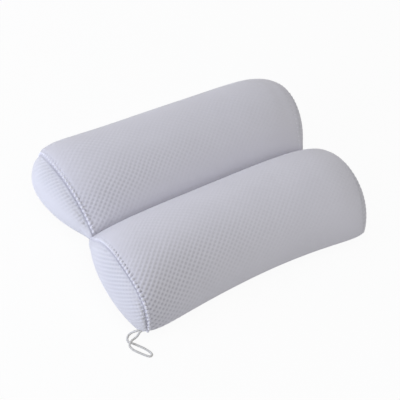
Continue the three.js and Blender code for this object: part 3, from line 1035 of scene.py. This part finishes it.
class TopCoversOperator(bpy.types.Operator):
    """Lay the mesh covers over the swollen rolls, with their diamond cells"""

    bl_idname = "bath_pillow.top_covers"
    bl_label = "Top Covers"

    def execute(self, context):
        s = settings()
        material = mesh_material("diamond_mesh", s.colours.mesh, s.colours.mesh_cell_shade)
        tucks = 2 * TUCK
        over = np.linspace(0, OVER, CELL_STEPS * OVER + 1)
        rows = np.concatenate([over, OVER + np.linspace(0.5, TUCK, tucks)])
        fine = np.linspace(0, 1, SEAM_STEPS, endpoint=False)
        middle = np.linspace(1, ALONG - 1, CELL_STEPS * (ALONG - 2) + 1)
        columns = np.concatenate([fine, middle, ALONG - fine[::-1]])
        for name, side in ROLLS.items():
            crown, under, _ = swollen_roll(name)
            tucked = under[:, OVER - 1 : OVER - TUCK - 1 : -1]
            points = refine(np.concatenate([crown, tucked], 1).transpose(1, 0, 2), rows, columns)
            run = run_along(points[:, 0])
            across = rows.copy()
            across[-tucks:] = OVER + (run[-tucks:] - run[-tucks - 1]) / s.cloth.cell
            grid = (side, rows[:, None], columns[None, :])
            depth, cells = cover_cells(*grid, across[:, None])
            pull, dark = cover_seams(*grid, points)
            points = points - grid_normals(points) * side * (depth + pull)[..., None]
            # The cover's colour takes the painted shade of its cells or of its seam creases, whichever is
            # darker.
            cover = mesh_skin(f"{name}_mesh_cover", points, np.maximum(cells, dark), side > 0)
            finish_piece(cover, f"{name}_roll", "mesh_fabric", material, f"{name}_top_cover")
        return {"FINISHED"}


# Fine steps to a cell of an end panel, down it and over it.
PANEL_STEPS = (6, 4)
# Shares of an end panel's width in which its ribs calm down, how much they do, and what is left of the ribs
# at its foot.
CALM_FROM = 0.5
CALM_RUN = 0.35
CALM_SHARE = 0.8
LOW_RIBS = 0.15


def end_relief(side, toward, points):
    """Depth of an end panel's ribs and seam, and the painted shade in its cells and along its seam's crease.
    """
    s = settings()
    cloth = s.cloth
    turn = cloth.end_turn[int(side > 0)]
    rib_start = cloth.rib_start[int(side > 0)]
    height = np.cumsum(np.linalg.norm(np.diff(points, axis=0, prepend=points[:1]), axis=2), axis=0)
    level = height + points[:1, :, 2]
    along = (math.cos(turn) * points[..., 1] + math.sin(turn) * level) / cloth.end_cell
    across = (math.cos(turn) * level - math.sin(turn) * points[..., 1]) / cloth.end_cell
    share = np.linspace(0, 1, points.shape[1])
    calm = eased((share[::side] - CALM_FROM) / CALM_RUN)
    ribs = diamond(along, across, cloth.end_lead) * (1 - CALM_SHARE * calm)
    upper = eased((np.linspace(0, 1, len(points)) - rib_start) / (1 - rib_start))[:, None]
    phase = run_along(points[-1]) / s.sewing.end_stitch_pitch
    fade = eased(np.minimum(share, 1 - share) / cloth.seam_fade)
    inside = height[-1:] - height
    rounding = hump(inside, cloth.rim_width) - hump(inside, cloth.groove_width)
    pull = seam_pull(inside, phase[None, :], cloth) + cloth.rim * rounding
    depth = ribs * cloth.end_relief * (LOW_RIBS + (1 - LOW_RIBS) * upper) + pull * seam_share(toward)
    # The second value is painted shade, in the rib hollows and along the crease at the seam.
    return depth * fade[None, :], np.maximum(ribs * upper, hump(inside, CREASE_SHADE_WIDTH))


class EndPanelsOperator(bpy.types.Operator):
    """Fill the rolls' ends with swollen leaf-shaped panels"""

    bl_idname = "bath_pillow.end_panels"
    bl_label = "End Panels"

    def execute(self, context):
        colours = settings().colours
        material = mesh_material("ribbed_end_mesh", colours.ends, colours.ends_cell_shade)
        rows = np.linspace(0, DOWN, PANEL_STEPS[0] * DOWN + 1)
        columns = np.linspace(0, OVER, PANEL_STEPS[1] * OVER + 1)
        for name, side in ROLLS.items():
            for (end, toward), leaf in zip(ENDS.items(), swollen_roll(name)[2]):
                points = refine(leaf, rows, columns)
                depth, cells = end_relief(side, toward, points)
                points = points - grid_normals(points) * side * toward * depth[..., None]
                cap = mesh_skin(f"{name}_{end}_end_mesh", points, cells, side * toward > 0)
                mend(cap, PANEL_MERGE, outward=False)
                finish_piece(cap, f"{name}_roll", "end_fabric", material, f"{name}_{end}_end_panel")
        return {"FINISHED"}


# Radius of the holes that the eyelets sit in.
EYELET_HOLE = 0.0085


class BasePanelsOperator(bpy.types.Operator):
    """Close the rolls underneath with flat panels of fine mesh, open at the eyelets"""

    bl_idname = "bath_pillow.base_panels"
    bl_label = "Base Panels"

    def execute(self, context):
        width = OVER - TUCK
        rows = np.linspace(0, width, 2 * width + 1)
        columns = np.linspace(0, ALONG, 2 * ALONG + 1)
        for name, side in ROLLS.items():
            _, under, _ = swollen_roll(name)
            points = refine(under[:, : width + 1].transpose(1, 0, 2), rows, columns)
            base = panel(f"{name}_base_cloth", points if side < 0 else points[:, ::-1])
            open_holes(base, [eyelet_centre(f"{name}_{end}") for end in ENDS], EYELET_HOLE)
            thicken(base, settings().cloth.cover_thickness)
            finish_piece(base, f"{name}_roll", "base_fabric", base_fabric(), f"{name}_base_panel")
        return {"FINISHED"}


def eyelet_centre(label):
    low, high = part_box(f"{label}_cup_eyelet")
    return (low + high) / 2


def cup_places():
    """Each cup's label, its roll's name and the foot of its axis."""
    for name in ROLLS:
        for end in ENDS:
            centre = eyelet_centre(f"{name}_{end}")
            yield f"{name}_{end}", name, Vector((centre.x, centre.y, 0))


def open_holes(obj, centres, radius):
    pick(obj)
    bpy.ops.object.mode_set(mode="EDIT")
    bpy.ops.mesh.select_mode(type="FACE")
    bpy.ops.mesh.select_all(action="DESELECT")
    bpy.ops.object.mode_set(mode="OBJECT")
    for face in obj.data.polygons:
        face.select = any((face.center - c).to_2d().length < radius for c in centres)
    bpy.ops.object.mode_set(mode="EDIT")
    bpy.ops.mesh.delete(type="FACE")
    bpy.ops.object.mode_set(mode="OBJECT")


# End stitches: their slant, how far they rise at the lower side and sink at the upper one, where they start
# to sink on each roll, and how much deeper the right seams lie.
STITCH_SLANT = math.radians(26)
STITCH_RISE = 0.0006
RISE_RUN = 0.75
STITCH_SEAT = 0.0001
STITCH_SINK = 0.0014
SINK_FROM = {"front": 0.66, "back": 0.34}
SINK_RUN = 0.26
RIGHT_SINK = 0.0024
# The stitches stand off a point this far inside the roll and over its base.
SEAM_CENTRE = 0.02
# The ridge of cloth edges below the stitches.
RIDGE_STEP = 0.002
RIDGE_DEPTH = 0.0054
RIDGE_RADIUS = 0.0013
RIDGE_SIDES = 8


def end_seam(name, end):
    """One end seam: a row of overlock stitches, and the ridge of cloth edges below them."""
    s = settings()
    sew = s.sewing
    side, toward = ROLLS[name], ENDS[end]
    crown, under, _ = swollen_roll(name)
    station = 0 if toward < 0 else ALONG
    edge, inner = (
        np.concatenate([crown[at, 2:], under[at, OVER - 1 : OVER - 4 : -1]])
        for at in (station, station - toward)
    )
    path = even_path(edge + (inner - edge) * sew.end_stitch_inset / s.cloth.cell, sew.end_stitch_pitch)
    centre = (path[:, 0].mean() - toward * SEAM_CENTRE, path[:, 1].mean(), BASE_LEVEL + SEAM_CENTRE)
    share = seam_share(toward)
    low_side = np.linspace(0, 1, len(path))[::side, None]
    rise = STITCH_RISE * share * (1 - eased(low_side / RISE_RUN))
    sink = STITCH_SINK * eased((low_side - SINK_FROM[name]) / SINK_RUN)
    row = stitches(
        f"{name}_{end}_overlock",
        path,
        path - np.array(centre),
        STITCH_SLANT * side * toward,
        (sew.end_stitch_length, sew.end_stitch_width, sew.end_stitch_height),
        rise + STITCH_SEAT - sink - RIGHT_SINK * (1 - share),
    )
    ridge_path = even_path(edge, RIDGE_STEP)
    _, ridge_side, ridge_up = frames_on(ridge_path, ridge_path - np.array(centre))
    ridge_path = ridge_path - ridge_up * RIDGE_DEPTH
    radius = np.full((len(ridge_path), RIDGE_SIDES), RIDGE_RADIUS)
    ridge = tube(f"{name}_{end}_seam_ridge", ridge_path, ridge_side, ridge_up, radius)
    return join(row, ridge)


class EndSeamsOperator(bpy.types.Operator):
    """Sew the end panels to the covers with plump overlock stitches"""

    bl_idname = "bath_pillow.end_seams"
    bl_label = "End Seams"

    def execute(self, context):
        for name in ROLLS:
            for end in ENDS:
                seam = end_seam(name, end)
                finish_piece(seam, f"{name}_roll", "seam_thread", thread_material(), f"{name}_{end}_end_seam")
        return {"FINISHED"}


# Stitches along the base and in the valley: slant, then length, width and height.
BASE_SLANT = math.radians(25)
BASE_STITCH = (0.0048, 0.0024, 0.0016)
VALLEY_SLANT = math.radians(35)
VALLEY_STITCH = (0.0040, 0.0014, 0.0013)


class BaseSeamsOperator(bpy.types.Operator):
    """Sew the base panels to the covers' tucked edges"""

    bl_idname = "bath_pillow.base_seams"
    bl_label = "Base Seams"

    def execute(self, context):
        for name, side in ROLLS.items():
            _, under, _ = swollen_roll(name)
            path = even_path(under[1:-1, OVER - TUCK], settings().sewing.base_stitch_pitch)
            row = stitches(f"{name}_base_overlock", path, (0.0, 0.0, -1.0), BASE_SLANT * side, BASE_STITCH)
            finish_piece(row, f"{name}_roll", "seam_thread", thread_material(), f"{name}_base_seam")
        return {"FINISHED"}


# The hinge strip: half its width, its points along and across, its fall to both sides, its thickness and its
# width laid flat. It bends between the rolls over twice the fold reach.
STRIP_REACH = 0.006
STRIP_STEPS = (153, 13)
STRIP_SLOPE = 0.25
STRIP_DROP = 0.0007
STRIP_THICKNESS = 0.0012
# From the strip's ends to the rolls' corners and to the first and last stitch.
STRIP_INSET = 0.001
STITCH_INSET = 0.003


class HingeOperator(bpy.types.Operator):
    """Join the rolls with the hinge strip and its row of stitches"""

    bl_idname = "bath_pillow.hinge"
    bl_label = "Hinge"

    def execute(self, context):
        low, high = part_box("hinge_web")
        level = (low.z + high.z) / 2
        left = max(swollen_roll(name)[0][0, 0, 0] for name in ROLLS) + STRIP_INSET
        x, y = np.meshgrid(
            np.linspace(left, high.x, STRIP_STEPS[0]), np.linspace(-STRIP_REACH, STRIP_REACH, STRIP_STEPS[1])
        )
        fall = STRIP_SLOPE * np.abs(y) + STRIP_DROP
        web = panel("hinge_strip", np.stack([x, y, level - fall], -1))
        thicken(web, STRIP_THICKNESS)
        finish_piece(web, None, "base_fabric", base_fabric(), "hinge_web")
        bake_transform(web)
        low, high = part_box("valley_stitching")
        line = [(x, 0, low.z) for x in np.linspace(left + STITCH_INSET, high.x - STITCH_INSET, 40)]
        path = even_path(np.array(line), settings().sewing.valley_stitch_pitch)
        row = stitches("valley_stitches", path, (0.0, 0.0, 1.0), VALLEY_SLANT, VALLEY_STITCH)
        finish_piece(row, None, "seam_thread", thread_material(), "valley_stitching")
        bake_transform(row)
        return {"FINISHED"}


# The bar tack on the loop's ends: its count of stitches, their inset and lift, their width, and their share
# of the solid's depth and height.
TACK_COUNT = 5
TACK_INSET = 0.0006
TACK_LIFT = 0.0002
TACK_WIDTH = 0.0011
TACK_SHARE = 0.8


class LoopTackOperator(bpy.types.Operator):
    """Tack the loop's two ends into the seam with a bar of close stitches"""

    bl_idname = "bath_pillow.loop_tack"
    bl_label = "Loop Tack"

    def execute(self, context):
        low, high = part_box("loop_tack")
        middle = (low + high) / 2
        places = np.linspace(low.x + TACK_INSET, high.x - TACK_INSET, TACK_COUNT)
        path = np.array([(x, middle.y, middle.z + TACK_LIFT) for x in places])
        sizes = (TACK_SHARE * (high.y - low.y), TACK_WIDTH, TACK_SHARE * (high.z - low.z))
        bar = stitches("loop_bar_tack", path, (0.0, 0.0, 1.0), math.radians(90), sizes)
        finish_piece(bar, "front_roll", "seam_thread", thread_material(), "loop_tack")
        return {"FINISHED"}


# Sides of the turned pieces, and the roundings of a cup's lip, shoulder and head.
CUP_SIDES = 64
EYELET_SIDES = 48
LIP_ROUND = 0.0003
LIP_STEP = 0.0002
LIP_SHARE = 0.4
SHOULDER_ROUND = 0.0008
HEAD_ROUND = 0.0005
HEAD_RISE = 0.0006
HEAD_SLOPE = 0.0012


class SuctionCupsOperator(bpy.types.Operator):
    """Turn the four soft suction cups, each with its neck and head"""

    bl_idname = "bath_pillow.suction_cups"
    bl_label = "Suction Cups"

    def execute(self, context):
        cup = settings().cup
        rim, shoulder = cup.diameter / 2, cup.shoulder / 2
        neck, head = cup.neck / 2, cup.head / 2
        lip, bell = cup.lip_thickness, cup.bell
        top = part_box("front_left_suction_cup")[1].z
        under_head = top - cup.head_thickness
        share = np.linspace(0, 1, 15)
        profile = list(zip((rim - cup.lip_width) * share, cup.hollow * (1 - share**2)))
        profile += [(rim - LIP_ROUND, 0), (rim, lip * LIP_SHARE)]
        profile += list(zip(rim - LIP_STEP + (shoulder - rim) * share, lip + (bell - lip) * share**2))
        profile += [(shoulder - SHOULDER_ROUND, bell), (neck, bell), (neck, under_head)]
        profile += [(head - HEAD_ROUND, under_head), (head, under_head + HEAD_RISE)]
        profile += [(head, under_head + cup.head_thickness / 2), (head - HEAD_SLOPE, top - SHOULDER_ROUND)]
        profile += [(neck, top), (0, top)]
        for label, _, foot in cup_places():
            piece = turned_piece(f"{label}_vinyl_cup", profile, foot, CUP_SIDES)
            finish_piece(piece, f"{label}_cup", "cup_vinyl", vinyl_material(), f"{label}_suction_cup")
        return {"FINISHED"}


# An eyelet's play on the neck, its barrel's wall, its plates' thickness and their rounding.
NECK_PLAY = 0.0004
BARREL_WALL = 0.0016
PLATE = 0.0012
PLATE_ROUND = 0.0004


class EyeletsOperator(bpy.types.Operator):
    """Turn the plastic eyelets that hold the cups in the base panels"""

    bl_idname = "bath_pillow.eyelets"
    bl_label = "Eyelets"

    def execute(self, context):
        s = settings()
        low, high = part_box("front_left_cup_eyelet")
        bottom, top, soft = low.z, high.z, PLATE_ROUND
        flange = (high.x - low.x) / 2
        bore = s.cup.neck / 2 + NECK_PLAY
        barrel = bore + BARREL_WALL
        low_plate, high_plate = bottom + PLATE, top - PLATE
        profile = [(bore, bottom + soft), (bore + soft, bottom), (flange - soft, bottom)]
        profile += [(flange, bottom + soft), (flange, low_plate - soft), (flange - soft, low_plate)]
        profile += [(barrel, low_plate), (barrel, high_plate), (flange - soft, high_plate)]
        profile += [(flange, high_plate + soft), (flange, top - soft), (flange - soft, top)]
        profile += [(bore + soft, top), (bore, top - soft)]
        profile.append(profile[0])
        plastic = plain_material(
            "satin_plastic", s.colours.plastic, 0.4, spread=0.02, scale=700, strength=0.06, distance=0.0002
        )
        for label, name, foot in cup_places():
            ring = turned_piece(f"{label}_eyelet_ring", profile, foot, EYELET_SIDES)
            finish_piece(ring, f"{name}_roll", "eyelet_plastic", plastic, f"{label}_cup_eyelet")
        return {"FINISHED"}


# A core's share of its roll's length, depth and height, and its lift off the base.
CORE_SHARE = (0.94, 0.88, 0.76)
CORE_LIFT = (0, 0, 0.010)


class CoresOperator(bpy.types.Operator):
    """Put an open-celled foam core into each roll"""

    bl_idname = "bath_pillow.cores"
    bl_label = "Cores"

    def execute(self, context):
        tint = settings().colours.foam
        foam = plain_material("open_foam", tint, 0.95, spread=0.08, scale=420, strength=0.6, distance=0.0012)
        faces, crown_at, under_at, ends_at, count = bag_faces()
        for name in ROLLS:
            crown, under, ends = swollen_roll(name)
            points = np.zeros((count, 3))
            points[ends_at], points[under_at], points[crown_at] = ends, under, crown
            middle = np.array((0, points[:, 1].mean(), BASE_LEVEL))
            points = middle + (points - middle) * CORE_SHARE + np.array(CORE_LIFT)
            core = new_mesh(f"{name}_foam_core", points, faces)
            bpy.ops.object.shade_smooth()
            finish_piece(core, f"{name}_roll", "filling", foam, f"{name}_core")
        return {"FINISHED"}


STEPS = (
    StageOperator,
    HangingLoopOperator,
    TopCoversOperator,
    EndPanelsOperator,
    BasePanelsOperator,
    EndSeamsOperator,
    BaseSeamsOperator,
    HingeOperator,
    LoopTackOperator,
    SuctionCupsOperator,
    EyeletsOperator,
    CoresOperator,
)


class PillowPanel(bpy.types.Panel):
    """The pillow's pieces and sizes, in the 3D view's sidebar"""

    bl_idname = "VIEW3D_PT_bath_pillow"
    bl_label = "Bath Pillow"
    bl_space_type = "VIEW_3D"
    bl_region_type = "UI"
    bl_category = "Bath Pillow"

    def draw(self, context):
        for step in STEPS:
            self.layout.operator(step.bl_idname)
        groups = settings()
        for group in (groups.roll, groups.cloth, groups.sewing, groups.cup, groups.colours, groups.stage):
            box = self.layout.box()
            for key in group.__annotations__:
                box.prop(group, key)


CLASSES = (
    RollSizes,
    ClothSizes,
    SewingSizes,
    CupSizes,
    FinishColours,
    StageSizes,
    PillowSettings,
    *STEPS,
    PillowPanel,
)


def register():
    for cls in CLASSES:
        bpy.utils.register_class(cls)
    bpy.types.Scene.bath_pillow = bpy.props.PointerProperty(type=PillowSettings)


def unregister():
    del bpy.types.Scene.bath_pillow
    for cls in reversed(CLASSES):
        bpy.utils.unregister_class(cls)


def main():
    register()
    make = bpy.ops.bath_pillow
    make.stage()
    make.hanging_loop()
    make.top_covers()
    make.end_panels()
    make.base_panels()
    make.end_seams()
    make.base_seams()
    make.hinge()
    make.loop_tack()
    make.suction_cups()
    make.eyelets()
    make.cores()


if __name__ == "__main__":
    main()
